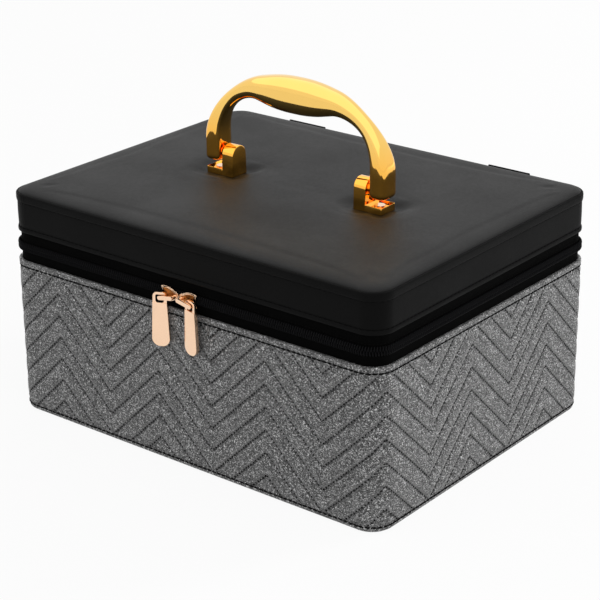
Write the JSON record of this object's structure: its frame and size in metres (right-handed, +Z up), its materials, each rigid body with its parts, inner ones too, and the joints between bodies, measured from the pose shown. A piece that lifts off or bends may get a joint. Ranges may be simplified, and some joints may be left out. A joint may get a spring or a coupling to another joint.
{
  "type": "makeup storage case",
  "caption": "Zip-round hard-sided makeup case with quilted walls, a padded hinged lid, a swinging metal carry handle on the lid and padded dividers inside.",
  "frame": {"origin": "middle of the flat underside of the base", "axes": "+X along the width, +Y to the hinged back, -Y to the front where the sliders meet, +Z up"},
  "size_m": [0.2612, 0.2097, 0.1973],
  "materials": {
    "quilted_cover": "quilted silver-grey glitter leatherette, chevron stitched",
    "black_leather": "matte grained black leatherette",
    "lining": "black polyester lining",
    "board": "plain stiffening board",
    "foam": "soft grey foam",
    "divider": "padded black fabric divider",
    "zip_tape": "black woven zip tape",
    "zip_coil": "black nylon coil",
    "gold": "polished gold plating",
    "rose_gold": "polished rose-gold plating",
    "steel": "zinc-plated steel"
  },
  "bodies": {
    "base": {"base_outer_cover": "quilted_cover", "base_bottom_cover": "black_leather", "base_floor_board": "board", "base_wall_board": "board", "base_lining": "lining", "divider_long": "divider", "divider_cross_left": "divider", "divider_cross_right": "divider", "zip_tape_lower": "zip_tape", "zip_coil_lower": "zip_coil", "hinge_panel": "black_leather", "hinge_strap_left": "black_leather", "hinge_strap_right": "black_leather"},
    "lid": {"lid_side_band": "black_leather", "lid_side_board": "board", "lid_top_board": "board", "lid_top_pad": "foam", "lid_top_cover": "black_leather", "lid_inner_foam": "foam", "lid_lining": "lining", "handle_backing_plate_left": "steel", "handle_backing_plate_right": "steel", "handle_nuts": "steel", "handle_screws": "rose_gold", "handle_bracket_left": "gold", "handle_bracket_right": "gold", "handle_pivot_pin_left": "gold", "handle_pivot_pin_right": "gold", "zip_tape_upper": "zip_tape", "zip_coil_upper": "zip_coil"},
    "handle": {"handle": "gold"},
    "slider_left": {"zip_slider_left": "rose_gold"},
    "slider_right": {"zip_slider_right": "rose_gold"},
    "pull_left": {"zip_pull_left": "rose_gold"},
    "pull_right": {"zip_pull_right": "rose_gold"}
  },
  "joints": [
    {"name": "lid_hinge", "type": "hinge", "parent": "base", "child": "lid", "pos_m": [0, 0.1013, 0.10143], "axis": [-1, 0, 0], "range_deg": [0, 105], "deforming": ["hinge_panel", "hinge_strap_left", "hinge_strap_right"]},
    {"name": "handle_swing", "type": "hinge", "parent": "lid", "child": "handle", "pos_m": [0, 0, 0.14445], "axis": [1, 0, 0], "range_deg": [-85, 85]},
    {"name": "slider_left_slide", "type": "slide", "parent": "base", "child": "slider_left", "axis": [-1, 0, 0], "range_m": [0, 0.1]},
    {"name": "slider_right_slide", "type": "slide", "parent": "base", "child": "slider_right", "axis": [1, 0, 0], "range_m": [0, 0.1]},
    {"name": "pull_left_swing", "type": "hinge", "parent": "slider_left", "child": "pull_left", "pos_m": [-0.00985, -0.1044, 0.09942], "axis": [-0.3746, 0.9272, 0], "range_deg": [0, 90]},
    {"name": "pull_right_swing", "type": "hinge", "parent": "slider_right", "child": "pull_right", "pos_m": [0.01145, -0.1044, 0.09942], "axis": [-0.1908, -0.9816, 0], "range_deg": [0, 90]}
  ]
}
